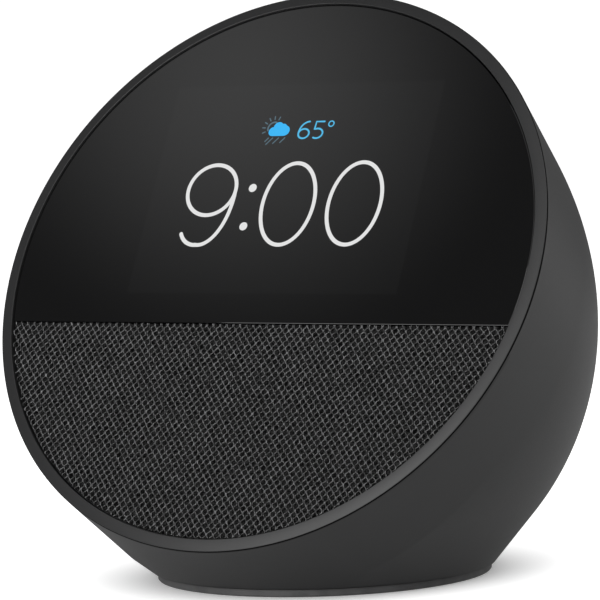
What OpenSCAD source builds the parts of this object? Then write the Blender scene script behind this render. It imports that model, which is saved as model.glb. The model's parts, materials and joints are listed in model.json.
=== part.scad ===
// Small round-faced smart display on a flat foot.
// Origin: centre of the bounding box, on the surface the display stands on.
// +X is to the right of the face, +Y is towards the back, +Z is up.
// on_face() gives the face's own axes: x right, y up along the face, z out of it.

/* [Body] */
// Diameter of the round face, which is the full width
face_diameter = 113; // [112:0.1:114]
// Depth from the face's lower edge to the back
overall_depth = 103; // [102:0.1:104]
// Height of the face's centre above the table
face_height = 59.3; // [59:0.1:60]
// Lean of the face back from upright, in degrees
tilt = 29.3; // [29:0.1:30]
// Half width of the rear dome
dome_side = 53.9; // [53.5:0.1:54.2]
// Half height of the rear dome, along the face
dome_up = 56.9; // [56.5:0.1:57.2]
// Half length of the rear dome, square to the face
dome_length = 69.5; // [69:0.1:70]
// Drop of the dome's centre below the face's centre
dome_drop = 7.0; // [6.5:0.1:7.5]
// Depth behind the face where the dome begins, with straight sides in front of it
dome_front = 17; // [15:0.5:18]
// Wall thickness of the body shell
wall = 1.8; // [1.6:0.1:1.8]

/* [Foot] */
// Outer radius of the silicone foot ring
foot_radius = 31.4; // [31:0.1:32]
// Distance of the foot's centre in front of the origin
foot_forward = 6.4; // [6:0.1:7]
// Thickness of the silicone foot ring
foot_thick = 1.4; // [1.2:0.1:1.4]

/* [Face] */
// Inner radius of the visible trim ring
trim_inner_radius = 54.17; // [54.1:0.01:54.2]
// Radius of the glass and of the cloth panel
panel_radius = 53.95; // [53.9:0.01:54]
// Height of the line between glass and cloth, below the face's centre
split_drop = 11.75; // [11.5:0.05:12]
// Thickness of the cover glass
glass_thick = 1.0; // [0.8:0.1:1]
// Width of the display module
lcd_width = 66; // [64:0.5:66]
// Height of the display module
lcd_height = 49.5; // [48:0.5:49.5]

/* [Loudspeaker] */
// Outer radius of the loudspeaker frame
driver_radius = 21.5; // [21:0.1:21.5]
// Drop of the loudspeaker's centre below the face's centre
driver_drop = 32.6; // [32.5:0.1:32.8]

/* [Buttons] */
// Radius of each round button
button_radius = 4.8; // [4.4:0.1:4.8]
// Distance between button centres
button_pitch = 17.5; // [17:0.1:18]
// Clearance around each button
button_gap = 0.3; // [0.25:0.05:0.35]
// Angle of the button row down the dome from its widest point, in degrees
button_angle = 13; // [13:0.5:14]

/* [Power inlet] */
// Height of the power inlet above the table
inlet_height = 19; // [18.5:0.5:19.5]
// Inner radius of the inlet's pocket
pocket_radius = 6.3; // [6:0.1:6.5]
// Radius of the hole that the plug's barrel goes through
mouth_radius = 2.4; // [2.3:0.1:2.5]
// Radius of the inlet's centre pin
pin_radius = 0.825; // [0.8:0.005:0.85]

/* [Hidden] */

// Resolution of exact round shapes, of hull parts and of small details
fn_round = 96;
fn_hull = 48;
fn_small = 32;

face_radius = face_diameter / 2;
face_y = face_radius * sin(tilt) - overall_depth / 2;
parting_depth = 0.35;         // the shell's front edge lies this far behind the face plane
skin = 0.1;                   // glass and cloth sit this far behind the face plane

// Dome centre, found from the overall depth
dome_reach = sqrt(pow(dome_length * cos(tilt), 2) + pow(dome_up * sin(tilt), 2));
dome_y = overall_depth / 2 - dome_reach;
dome_z = face_height - dome_drop;
dome_v = (dome_y - face_y) * sin(tilt) - dome_drop * cos(tilt);
dome_w = -(dome_y - face_y) * cos(tilt) - dome_drop * sin(tilt);

// Shell edge at the foot
shell_foot_radius = foot_radius + 0.8;
shell_foot_z = foot_thick + 0.2;
dome_cut_z = 5;                // the dome ends at this height, with straight sides below it
front_edge = 0.3;             // depth of the shell's plain edge behind the face
foot_edge = 0.4;              // height of the shell's plain edge above the foot
space = 160;                  // longer than the whole object, for cuts by a plane

// Layers behind the face, each counted from the face plane inwards
glass_back = skin + glass_thick;
adhesive_back = glass_back + 0.2;
cell_back = glass_back + 1.5;
backlight_back = cell_back + 1.9;
bracket_back = backlight_back + 0.4;
cloth_back = 0.6;
grille_back = 2.1;
frame_step = 2.15;
frame_back = 3.8;
gasket_back = frame_back + 0.5;
flange_back = gasket_back + 1.0;
board_front = 11.8;
board_back = 13.0;
shield_back = 15.0;
pad_back = 15.8;
sink_back = 17.8;
fin_back = 23.8;
enclosure_back = 34;

// Loudspeaker's motor, counted the same way
coil_radius = 8.2;
motor_front = 13.2;
magnet_front = 15.5;
magnet_back = 20.5;

lcd_top = 40;
lcd_bottom = lcd_top - lcd_height;
lcd_middle = lcd_top - lcd_height / 2;
frame_screw_places = [[0, 49], [49, 0], [-49, 0], [34.6, -34.6], [-34.6, -34.6]];
board_screw_places = [[38.5, -4], [-38.5, -4], [38.2, 27], [-38.2, 27]];
processor_v = 16;
boss_radius = 2.8;
boss_back = 12;
rib_thick = 1.6;
screw_radius = 1.0;

// Base plate and the lip inside the shell that it screws to
plate_radius = shell_foot_radius - wall - 0.2;
plate_top = foot_thick + 1.8;
lip_top = plate_top + 2.0;
lip_inner_radius = 23;
base_screw_circle = 27;
foot_inner_radius = 22;

// Place and direction of the button row on the dome
key_v = dome_v + dome_up * cos(button_angle);
key_w = dome_w - dome_length * sin(button_angle);
key_lean = atan2(sin(button_angle) / dome_length, cos(button_angle) / dome_up);
key_curve = pow(dome_side, 2)
    * sqrt(pow(cos(button_angle) / dome_up, 2) + pow(sin(button_angle) / dome_length, 2));
key_flange_top = 8.6;
key_flange_bottom = 9.4;
key_stem_bottom = 10.7;
key_switch_top = 11.2;
key_board_top = 13;
key_board_bottom = 14;
key_post_x = 27;
key_post_radius = 2.4;
key_screw_radius = 0.8;
button_board_size = [60, 11];
mic_x = button_pitch / 2;
mic_hole_radius = 0.6;

// Power inlet, along the Y axis
pocket_wall = 1.2;
pocket_floor_y = 38;
pocket_back_y = pocket_floor_y - 1.6;
pocket_slant = 28.7;
jack_bore_radius = 2.1;
jack_bore_depth = 9;
jack_side = 9;
jack_depth = 12;

// Puts children in the face's axes
module on_face() {
    translate([0, face_y, face_height]) rotate([90 - tilt, 0, 0]) children();
}

// Puts children in the button row's axes, with z out of the dome
module on_keys() {
    on_face() translate([0, key_v, key_w]) rotate([-90 - key_lean, 0, 0]) children();
}

// Slab of a flat outline between two depths behind the face
module slab(front, back) {
    translate([0, 0, -back]) linear_extrude(back - front) children();
}

// Plain box centred on x and y, between two depths behind the face
module plate(x, y, w, h, front, back) {
    translate([x - w / 2, y - h / 2, -back]) cube([w, h, back - front]);
}

// Round bar between two depths behind the face
module peg(x, y, r, front, back) {
    translate([x, y, -back]) cylinder(h = back - front, r = r, $fn = fn_small);
}

// Straight round wire between two points, with a round joint at the first
module wire(a, b, r) {
    d = b - a;
    translate(a) {
        sphere(r = 1.06 * r, $fn = 16);
        rotate([0, acos(d[2] / norm(d)), atan2(d[1], d[0])])
            cylinder(h = norm(d), r = r, $fn = 16);
    }
}

// Wire that follows a list of points
module wire_run(points, r) {
    for (i = [0 : len(points) - 2]) wire(points[i], points[i + 1], r);
    translate(points[len(points) - 1]) sphere(r = 1.06 * r, $fn = 16);
}

// Outline above or below the line between glass and cloth
module panel_outline(r, upper, gap) {
    intersection() {
        circle(r = r, $fn = fn_round);
        if (upper) translate([-r, gap - split_drop]) square([2 * r, 2 * r]);
        else translate([-r, -gap - split_drop - 2 * r]) square([2 * r, 2 * r]);
    }
}

// Smooth form of the body, moved inwards by inset and reaching past both openings
module body_form(inset, past) {
    hull() {
        on_face() translate([0, 0, -parting_depth - front_edge])
            cylinder(h = front_edge + past, r = face_radius - inset, $fn = 72);
        intersection() {
            on_face() translate([0, dome_v, dome_w])
                scale([dome_side - inset, dome_up - inset, dome_length - inset])
                    sphere(r = 1, $fn = fn_hull);
            on_face() translate([-space / 2, -space / 2, -space - dome_front]) cube(space);
            translate([-space / 2, -space / 2, dome_cut_z + inset]) cube(space);
        }
        translate([0, -foot_forward, shell_foot_z - past])
            cylinder(h = foot_edge + past, r = shell_foot_radius - inset, $fn = fn_hull);
    }
}

// Lip, bosses and posts inside the shell, which end halfway through its wall
module shell_inner_features() {
    intersection() {
        body_form(wall / 2, 0);
        union() {
            // Lip that the base plate screws to
            translate([0, -foot_forward, plate_top]) difference() {
                cylinder(h = lip_top - plate_top, r = face_radius, $fn = fn_round);
                translate([0, 0, -1]) cylinder(h = 4, r = lip_inner_radius, $fn = fn_round);
            }
            // Bosses for the front frame, each with a rib out to the wall
            on_face() for (p = frame_screw_places) {
                peg(p[0], p[1], boss_radius, frame_back, boss_back);
                rotate([0, 0, atan2(p[1], p[0])])
                    plate(54, 0, 10, rib_thick, frame_back, boss_back - 2);
            }
            // Posts for the button board
            on_keys() for (s = [-1, 1])
                peg(s * key_post_x, 0, key_post_radius, 5, key_board_top);
        }
    }
}

module body_shell() {
    color([0.13, 0.13, 0.135]) difference() {
        union() {
            difference() {
                body_form(0, 0);
                body_form(wall, 0.2);
            }
            shell_inner_features();
        }
        on_face() for (p = frame_screw_places) peg(p[0], p[1], screw_radius, 0, boss_back - 1);
        on_keys() {
            for (i = [-1 : 1]) peg(i * button_pitch, 0, button_radius + button_gap, -3, 9.5);
            for (s = [-1, 1]) {
                peg(s * mic_x, 0, mic_hole_radius, -3, 9);
                peg(s * key_post_x, 0, key_screw_radius, 10.4, key_board_bottom);
            }
        }
        translate([0, overall_depth / 2 + 1, inlet_height]) rotate([90, 0, 0])
            cylinder(h = 20, r = pocket_radius + pocket_wall, $fn = fn_round);
        translate([0, -foot_forward, 0]) for (a = [45 : 90 : 315]) rotate([0, 0, a])
            translate([base_screw_circle, 0, plate_top - 1])
                cylinder(h = 5, r = screw_radius, $fn = fn_small);
    }
}

// Ring whose front slopes back towards the shell, with a short collar into the opening
module trim_ring() {
    front = 0.5;
    flange_back = -0.08;
    collar_radius = trim_inner_radius + 0.28;
    collar_back = -1.2;
    color([0.15, 0.15, 0.155]) on_face() rotate_extrude($fn = fn_round) polygon([
        [trim_inner_radius, front - 0.05], [trim_inner_radius + 0.1, front],
        [face_radius - 0.1, 0.14], [face_radius, 0.04], [face_radius, flange_back],
        [collar_radius, flange_back], [collar_radius, collar_back],
        [trim_inner_radius, collar_back]
    ]);
}

module front_glass() {
    color([0.03, 0.03, 0.035]) on_face() slab(skin, glass_back)
        panel_outline(panel_radius, true, 0);
}

module glass_adhesive() {
    color([0.05, 0.05, 0.05]) on_face() slab(glass_back, adhesive_back) difference() {
        panel_outline(panel_radius - 0.4, true, 0.3);
        translate([-lcd_width / 2 - 0.5, lcd_bottom - 0.3])
            square([lcd_width + 1, lcd_height + 0.8]);
        for (p = frame_screw_places) translate(p) circle(r = 2.6, $fn = fn_small);
    }
}

module lcd_panel() {
    color([0.10, 0.11, 0.12]) on_face()
        plate(0, lcd_middle, lcd_width, lcd_height, glass_back, cell_back);
}

module lcd_backlight() {
    color([0.85, 0.85, 0.82]) on_face()
        plate(0, lcd_middle, lcd_width, lcd_height, cell_back, backlight_back);
}

module lcd_bracket() {
    color([0.72, 0.73, 0.75]) on_face() difference() {
        union() {
            plate(0, lcd_middle, lcd_width + 4, lcd_height - 1,
                backlight_back, bracket_back);
            for (s = [-1, 1]) plate(s * (lcd_width / 2 + 1.6), lcd_middle,
                0.8, 30, frame_back, backlight_back);
        }
        plate(0, 14, 20, 3, 0, 10);
    }
}

module display_flex() {
    color([0.75, 0.45, 0.12]) on_face() {
        plate(0, 17, 12, 14, bracket_back, bracket_back + 0.2);
        plate(0, 24.1, 12, 0.2, bracket_back, board_front);
        plate(0, 21, 12, 6.4, board_front - 0.2, board_front);
    }
}

module front_frame() {
    color([0.08, 0.08, 0.08]) on_face() difference() {
        union() {
            slab(adhesive_back, frame_step) panel_outline(panel_radius, true, 0.1);
            slab(frame_step, frame_back) circle(r = panel_radius, $fn = fn_round);
            for (p = board_screw_places) peg(p[0], p[1], 2.4, frame_back, board_front);
        }
        plate(0, lcd_middle, lcd_width + 0.4, lcd_height + 0.4, 0, 6);
        peg(0, -driver_drop, driver_radius - 1.7, 0, 6);
        for (p = frame_screw_places) {
            peg(p[0], p[1], 2.5, 0, 3.0);
            peg(p[0], p[1], screw_radius + 0.3, 0, 6);
        }
        for (p = board_screw_places) peg(p[0], p[1], screw_radius, 5, 13);
    }
}

// Pan-head screw along the face's normal, with its head's front at a depth
module face_screw(x, y, head_front, head, length) {
    peg(x, y, 2.1, head_front, head_front + head);
    peg(x, y, screw_radius - 0.05, head_front + head, head_front + head + length);
}

module frame_screws() {
    color("silver") on_face() for (p = frame_screw_places) face_screw(p[0], p[1], 2.2, 0.8, 6);
}

module grille_plate() {
    hole_pitch = 2.8;
    hole_radius = 0.95;
    color([0.06, 0.06, 0.06]) on_face() slab(cloth_back, grille_back) difference() {
        panel_outline(panel_radius, false, 0.15);
        for (row = [-8 : 8], col = [-8 : 8]) {
            x = (col + (row % 2) / 2) * hole_pitch;
            y = row * hole_pitch * sin(60);
            if (norm([x, y]) < driver_radius - 2.6)
                translate([x, y - driver_drop]) circle(r = hole_radius, $fn = 16);
        }
    }
}

module grille_cloth() {
    color([0.12, 0.12, 0.12]) on_face() slab(skin, cloth_back)
        panel_outline(panel_radius, false, 0.15);
}

// Puts children on the loudspeaker's own axis, with z out of the face
module on_driver() {
    on_face() translate([0, -driver_drop, 0]) children();
}

module speaker_gasket() {
    color([0.1, 0.1, 0.1]) on_driver() slab(frame_back, gasket_back) difference() {
        circle(r = driver_radius, $fn = fn_round);
        circle(r = driver_radius - 1.7, $fn = fn_round);
    }
}

module speaker_basket() {
    color([0.2, 0.2, 0.21]) on_driver() difference() {
        rotate_extrude($fn = fn_round) polygon([
            [driver_radius - 2.2, -gasket_back], [driver_radius, -gasket_back],
            [driver_radius, -flange_back], [driver_radius - 1.5, -flange_back],
            [14.5, -12.4], [13.2, -13.2], [9.2, -13.2], [9.2, -12.2], [12.9, -12.2],
            [18.6, -flange_back - 0.2]
        ]);
        for (a = [45 : 90 : 315]) rotate([0, 0, a]) translate([11, -4, -11.6])
            cube([12, 8, 5.2]);
    }
}

module speaker_surround() {
    roll = driver_radius - 3.3;
    roll_radius = 1.5;
    roll_thick = 0.4;
    color([0.05, 0.05, 0.05]) on_driver() rotate_extrude($fn = fn_round) difference() {
        translate([roll, -gasket_back]) circle(r = roll_radius, $fn = fn_small);
        translate([roll, -gasket_back]) circle(r = roll_radius - roll_thick, $fn = fn_small);
        translate([roll - 3, -gasket_back - 3]) square([6, 3]);
    }
}

module speaker_cone() {
    color([0.14, 0.14, 0.15]) on_driver() rotate_extrude($fn = fn_round) polygon([
        [16.5, -4.4], [16.5, -4.9], [15.9, -4.9], [8.2, -9.6], [8.2, -9.0], [15.6, -4.4]
    ]);
}

module speaker_dust_cap() {
    dome = 13;
    skin_t = 0.4;
    color([0.1, 0.1, 0.1]) on_driver() rotate_extrude($fn = fn_round) intersection() {
        translate([0, -6 - dome]) difference() {
            circle(r = dome, $fn = fn_round);
            circle(r = dome - skin_t, $fn = fn_round);
        }
        translate([0, -9]) square([coil_radius, 6]);
    }
}

module voice_coil() {
    color([0.72, 0.38, 0.2]) on_driver() slab(9.6, 16.4) difference() {
        circle(r = coil_radius, $fn = fn_round);
        circle(r = coil_radius - 0.3, $fn = fn_round);
    }
}

// Corrugated disc that centres the coil, with a glued lip at its outer edge
module speaker_spider() {
    fold = 1.5;
    skin_t = 0.3;
    color([0.8, 0.65, 0.35]) on_driver() rotate_extrude($fn = fn_round) {
        for (i = [0 : 2]) translate([8.6 + i * fold, -11.7]) {
            square([0.8, skin_t]);
            translate([0.5, 0]) square([skin_t, 0.5]);
            translate([0.5, 0.2]) square([1.1, skin_t]);
            translate([1.3, 0]) square([skin_t, 0.5]);
        }
        translate([12.3, -12.15]) square([skin_t, 0.95]);
    }
}

module speaker_top_plate() {
    color([0.6, 0.6, 0.62]) on_driver() slab(motor_front, magnet_front) difference() {
        circle(r = 13.2, $fn = fn_round);
        circle(r = coil_radius + 0.4, $fn = fn_round);
    }
}

module speaker_magnet() {
    color([0.25, 0.25, 0.26]) on_driver() slab(magnet_front, magnet_back) difference() {
        circle(r = 14.5, $fn = fn_round);
        circle(r = 9.6, $fn = fn_round);
    }
}

module speaker_yoke() {
    color([0.6, 0.6, 0.62]) on_driver() {
        slab(magnet_back, magnet_back + 2.3) circle(r = 13.5, $fn = fn_round);
        slab(motor_front, magnet_back) circle(r = coil_radius - 0.7, $fn = fn_round);
    }
}

// Flat outline of the loudspeaker's box, made smaller by inset
module enclosure_outline(inset) {
    intersection() {
        circle(r = 52.5 - inset, $fn = fn_round);
        translate([-30 + inset, -60 - inset]) square([60 - 2 * inset, 50.2]);
    }
}

module speaker_enclosure() {
    skin_t = 1.5;
    floor_z = lip_top + 0.3;
    color([0.1, 0.1, 0.11]) difference() {
        intersection() {
            on_face() slab(flange_back, enclosure_back) enclosure_outline(0);
            translate([-space / 2, -space / 2, floor_z]) cube(space);
        }
        intersection() {
            on_face() slab(flange_back + skin_t, enclosure_back - skin_t)
                enclosure_outline(skin_t);
            translate([-space / 2, -space / 2, floor_z + skin_t]) cube(space);
        }
        on_driver() peg(0, 0, driver_radius - 1.3, 0, flange_back + 3);
        on_face() translate([-14, -20, -24]) rotate([-90, 0, 0])
            cylinder(h = 15, r = 0.9, $fn = fn_small);
    }
}

module speaker_lead() {
    color([0.6, 0.1, 0.1]) on_face()
        wire_run([[-14, -15, -24], [-14, -7, -24], [-15, -5, -19], [-16, -4, -16.3]], 0.7);
}

module main_board() {
    color([0.05, 0.3, 0.16]) on_face() slab(board_front, board_back) difference() {
        intersection() {
            circle(r = 49.5, $fn = fn_round);
            translate([-42, -8.5]) square([84, 51.5]);
        }
        for (p = board_screw_places) translate(p) circle(r = screw_radius + 0.2, $fn = fn_small);
    }
}

module board_screws() {
    color("silver") on_face() for (p = board_screw_places) {
        peg(p[0], p[1], 2.1, board_back, board_back + 1.2);
        peg(p[0], p[1], screw_radius - 0.05, board_back - 6, board_back);
    }
}

module processor_shield() {
    color([0.75, 0.76, 0.78]) on_face()
        plate(0, processor_v, 24, 24, board_back, shield_back);
}

module board_connectors() {
    color([0.9, 0.88, 0.8]) on_face() {
        plate(-16, -4, 8, 4, board_back, board_back + 2.4);
        plate(20, -4, 8, 4, board_back, board_back + 2.4);
        plate(0, 36, 14, 3, board_back, board_back + 2);
    }
}

module thermal_pad() {
    color([0.45, 0.6, 0.75]) on_face()
        plate(0, processor_v, 22, 22, shield_back, pad_back);
}

module heat_sink() {
    fin_pitch = 7;
    fin_thick = 1.2;
    color([0.6, 0.6, 0.62]) on_face() {
        plate(0, processor_v, 56, 34, pad_back, sink_back);
        for (i = [-3 : 3])
            plate(i * fin_pitch, processor_v, fin_thick, 32, sink_back, fin_back);
    }
}

module wifi_antenna(side) {
    color([0.1, 0.1, 0.1]) on_face() translate([side * 46 - 0.4, 4, -28]) cube([0.8, 12, 8]);
}

module wifi_antenna_left() {
    wifi_antenna(-1);
}

module wifi_antenna_right() {
    wifi_antenna(1);
}

// One key: a round cap whose top follows the dome, a retaining flange and a stem
module button(x) {
    color([0.11, 0.11, 0.115]) on_keys() {
        intersection() {
            peg(x, 0, button_radius, -1, key_flange_top);
            translate([0, 0, -key_curve]) sphere(r = key_curve + 0.1, $fn = 200);
        }
        peg(x, 0, button_radius + 1.1, key_flange_top, key_flange_bottom);
        peg(x, 0, 1.5, key_flange_bottom, key_stem_bottom);
    }
}

module button_volume_down() {
    button(-button_pitch);
}

module button_microphone() {
    button(0);
}

module button_volume_up() {
    button(button_pitch);
}

module button_board() {
    color([0.05, 0.3, 0.16]) on_keys() difference() {
        plate(0, 0, button_board_size[0], button_board_size[1], key_board_top, key_board_bottom);
        for (s = [-1, 1]) peg(s * key_post_x, 0, key_screw_radius + 0.2, 12, 15);
    }
}

module button_switches() {
    color([0.3, 0.3, 0.32]) on_keys() for (i = [-1 : 1]) {
        plate(i * button_pitch, 0, 4.5, 4.5, key_switch_top + 0.6, key_board_top);
        peg(i * button_pitch, 0, 1.2, key_switch_top, key_switch_top + 0.6);
    }
}

module button_board_screws() {
    color("silver") on_keys() for (s = [-1, 1]) {
        peg(s * key_post_x, 0, 1.8, key_board_bottom, key_board_bottom + 0.9);
        peg(s * key_post_x, 0, key_screw_radius - 0.05, 10.6, key_board_bottom);
    }
}

module microphones() {
    color([0.8, 0.7, 0.4]) on_keys() for (s = [-1, 1])
        plate(s * mic_x, 0, 3.5, 2.7, key_board_top - 1, key_board_top);
}

module microphone_boots() {
    color([0.1, 0.1, 0.1]) on_keys() for (s = [-1, 1]) difference() {
        peg(s * mic_x, 0, 1.7, 3.4, key_board_top - 1);
        peg(s * mic_x, 0, mic_hole_radius, 0, key_board_top);
    }
}

// Round bar along the Y axis at the inlet, between two y values
module inlet_bar(r, from_y, to_y) {
    translate([0, to_y, inlet_height]) rotate([90, 0, 0])
        cylinder(h = to_y - from_y, r = r, $fn = fn_round);
}

module inlet_pocket() {
    outer = pocket_radius + pocket_wall - 0.1;
    color([0.09, 0.09, 0.09]) difference() {
        inlet_bar(outer, pocket_back_y, overall_depth / 2);
        inlet_bar(pocket_radius, pocket_floor_y, overall_depth / 2 + 1);
        inlet_bar(mouth_radius, pocket_back_y - 1, pocket_floor_y + 1);
        // The pocket's rim is cut on the slant of the shell around it
        translate([0, 44.6, inlet_height]) rotate([-pocket_slant, 0, 0])
            translate([-20, 0, -20]) cube([40, 20, 40]);
    }
}

module inlet_jack() {
    color([0.04, 0.04, 0.04]) difference() {
        translate([-jack_side / 2, pocket_back_y - jack_depth, inlet_height - jack_side / 2])
            cube([jack_side, jack_depth, jack_side]);
        inlet_bar(jack_bore_radius, pocket_back_y - jack_bore_depth, pocket_back_y + 1);
    }
}

module inlet_pin() {
    color([0.8, 0.8, 0.78])
        inlet_bar(pin_radius, pocket_back_y - jack_bore_depth, pocket_back_y - 1);
}

module power_lead() {
    color([0.1, 0.1, 0.1]) wire_run([
        [0, 23.4, 19], [4, 17, 22], [11, 9, 32], [17, 2, 42], [20, -6, 47], [20, -11, 48.3]
    ], 0.9);
}

module base_plate() {
    color([0.08, 0.08, 0.08]) translate([0, -foot_forward, 0]) difference() {
        translate([0, 0, foot_thick])
            cylinder(h = plate_top - foot_thick, r = plate_radius, $fn = fn_round);
        for (a = [45 : 90 : 315]) rotate([0, 0, a]) translate([base_screw_circle, 0, 0]) {
            cylinder(h = foot_thick + 1.0, r = 2.3, $fn = fn_small);
            cylinder(h = 6, r = screw_radius + 0.2, $fn = fn_small);
        }
    }
}

module base_screws() {
    color("silver") translate([0, -foot_forward, 0])
        for (a = [45 : 90 : 315]) rotate([0, 0, a]) translate([base_screw_circle, 0, 0]) {
            translate([0, 0, foot_thick + 0.1]) cylinder(h = 0.9, r = 2.0, $fn = fn_small);
            translate([0, 0, foot_thick + 1.0])
                cylinder(h = 2.6, r = screw_radius - 0.05, $fn = fn_small);
        }
}

module foot_ring() {
    color([0.1, 0.1, 0.1]) translate([0, -foot_forward, 0]) rotate_extrude($fn = fn_round)
        polygon([
            [foot_inner_radius, 0.2], [foot_inner_radius + 0.2, 0],
            [foot_radius - 0.3, 0], [foot_radius, 0.3],
            [foot_radius, foot_thick], [foot_inner_radius, foot_thick]
        ]);
}

body_shell();
trim_ring();
front_glass();
glass_adhesive();
lcd_panel();
lcd_backlight();
lcd_bracket();
display_flex();
front_frame();
frame_screws();
grille_plate();
grille_cloth();
speaker_gasket();
speaker_basket();
speaker_surround();
speaker_cone();
speaker_dust_cap();
voice_coil();
speaker_spider();
speaker_top_plate();
speaker_magnet();
speaker_yoke();
speaker_enclosure();
speaker_lead();
main_board();
board_screws();
processor_shield();
board_connectors();
thermal_pad();
heat_sink();
wifi_antenna_left();
wifi_antenna_right();
button_volume_down();
button_microphone();
button_volume_up();
button_board();
button_switches();
button_board_screws();
microphones();
microphone_boots();
inlet_pocket();
inlet_jack();
inlet_pin();
power_lead();
base_plate();
base_screws();
foot_ring();
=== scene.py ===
"""Small round-faced smart display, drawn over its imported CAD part.

Lengths are in metres in the part's own frame. The face has its own axes: u to the right,
v up along the face and w out of it, counted from the front of the glass.
"""

import json
import math

import bmesh
import bpy
import numpy as np
from mathutils import Matrix, Vector
from mathutils.bvhtree import BVHTree


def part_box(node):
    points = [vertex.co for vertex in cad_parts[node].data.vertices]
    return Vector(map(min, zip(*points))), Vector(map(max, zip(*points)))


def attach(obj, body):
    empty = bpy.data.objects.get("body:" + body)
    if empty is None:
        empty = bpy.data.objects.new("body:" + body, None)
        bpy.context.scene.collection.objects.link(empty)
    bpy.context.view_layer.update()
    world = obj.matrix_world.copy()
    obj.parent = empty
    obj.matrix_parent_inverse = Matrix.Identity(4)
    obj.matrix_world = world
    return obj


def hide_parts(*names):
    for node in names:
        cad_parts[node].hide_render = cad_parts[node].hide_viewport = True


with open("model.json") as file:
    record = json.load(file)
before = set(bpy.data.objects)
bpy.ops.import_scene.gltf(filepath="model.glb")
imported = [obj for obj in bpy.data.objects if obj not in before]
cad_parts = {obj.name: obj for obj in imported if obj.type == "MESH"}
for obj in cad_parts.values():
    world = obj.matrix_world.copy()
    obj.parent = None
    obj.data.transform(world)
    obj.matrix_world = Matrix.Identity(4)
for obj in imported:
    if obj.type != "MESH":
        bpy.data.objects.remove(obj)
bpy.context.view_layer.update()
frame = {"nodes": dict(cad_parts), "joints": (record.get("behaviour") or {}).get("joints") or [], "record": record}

MM = 0.001
TURN = 2 * math.pi


# Directions and positions read from the frame --------------------------------------------

def joint_axis(child):
    """Direction of the joint that moves a body."""
    joint = next(j for j in frame["joints"] if j["child"] == child)
    return Vector(joint["axis"]).normalized()


def extent(node, axis):
    """Lowest and highest coordinate of a CAD node along a direction."""
    along = [v.co.dot(axis) for v in frame["nodes"][node].data.vertices]
    return min(along), max(along)


def middle(node, axis):
    """Coordinate half way through a CAD node along a direction."""
    return sum(extent(node, axis)) / 2


BACKWARD = Vector((0, 1, 0))
UPWARD = Vector((0, 0, 1))
U = Vector((1, 0, 0))
W = joint_axis("cone_assembly")
V = W.cross(U)
FACE_CENTRE = (
    U * middle("trim_ring", U) + V * middle("trim_ring", V) + W * extent("front_glass", W)[1]
)
RIM_RADIUS = (extent("trim_ring", U)[1] - extent("trim_ring", U)[0]) / 2
PANEL_RADIUS = extent("front_glass", U)[1]
SPLIT_V = extent("front_glass", V)[0] - FACE_CENTRE.dot(V)
GLASS_THICK = extent("front_glass", W)[1] - extent("front_glass", W)[0]
FOOT_RADIUS = (extent("foot_ring", U)[1] - extent("foot_ring", U)[0]) / 2
FOOT_Y = middle("foot_ring", BACKWARD)
FOOT_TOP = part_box("foot_ring")[1].z
SHELL_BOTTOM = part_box("body_shell")[0].z
BODY_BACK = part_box("body_shell")[1].y
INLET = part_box("inlet_pin")
INLET_Z = (INLET[0].z + INLET[1].z) / 2
POCKET_FLOOR = 1.6 * MM
POCKET_FLOOR_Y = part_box("inlet_jack")[1].y + POCKET_FLOOR
KEY_NORMAL = -joint_axis("microphone_button")
KEY_SIDE = KEY_NORMAL.cross(U)

# Half sizes of the rear dome along u, v and w, how far its centre lies below the face's, and
# how far behind the face and how high above the floor it begins
DOME_SIDE = 53.9 * MM
DOME_UP = 56.9 * MM
DOME_LENGTH = 69.5 * MM
DOME_DROP = 7.0 * MM
DOME_FRONT = 17.0 * MM
DOME_FOOT = 5.0 * MM

# Wall of the body, its foot, and the parting between it and the rim, with the step by which the rim stays inside
# the body's edge so that the ring of painted shade in the parting shows
WALL = 1.8 * MM
SHELL_FOOT_RADIUS = FOOT_RADIUS + 0.8 * MM
PARTING = 0.28 * MM
PARTING_SHADE_STEP = 0.12 * MM


def on_face(u, v, w=0.0):
    """Point given in the face's own axes."""
    return FACE_CENTRE + U * u + V * v + W * w


# Building pieces --------------------------------------------------------------------------

def mesh_object(name, verts, faces):
    """Object in the scene with its faces turned outwards."""
    mesh = bpy.data.meshes.new(name)
    mesh.from_pydata([tuple(p) for p in verts], [], faces)
    work = bmesh.new()
    work.from_mesh(mesh)
    bmesh.ops.recalc_face_normals(work, faces=work.faces)
    work.to_mesh(mesh)
    work.free()
    made = bpy.data.objects.new(name, mesh)
    bpy.context.scene.collection.objects.link(made)
    return made


def add_piece(name, verts, faces, slot, body="housing", sharp=40):
    """Mesh piece with smooth faces and edges kept sharp above an angle in degrees."""
    piece = mesh_object(name, verts, faces)
    finish_piece(piece, slot, body, sharp)
    return piece


def finish_piece(piece, slot, body, sharp):
    """Shading, finish and body of a piece; sharp 0 leaves every edge smooth."""
    mesh = piece.data
    mesh.shade_smooth()
    if sharp:
        mesh.set_sharp_from_angle(angle=math.radians(sharp))
    mesh.materials.clear()
    mesh.materials.append(FINISHES[slot])
    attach(piece, body)


def ring_faces(rows, count, closed_rows=False):
    """Quads between successive rings of the same number of points."""
    faces = []
    last = rows if closed_rows else rows - 1
    for row in range(last):
        near = row * count
        far = ((row + 1) % rows) * count
        for k in range(count):
            after = (k + 1) % count
            faces.append((near + k, near + after, far + after, far + k))
    return faces


def lathe(name, profile, slot, origin, x_axis, y_axis, axis, segments=360):
    """Closed ring swept from a profile of (radius, height along the axis)."""
    verts = []
    for radius, height in profile:
        for k in range(segments):
            a = TURN * k / segments
            ray = x_axis * math.cos(a) + y_axis * math.sin(a)
            verts.append(origin + ray * radius + axis * height)
    return add_piece(name, verts, ring_faces(len(profile), segments, True), slot, sharp=30)


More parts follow.
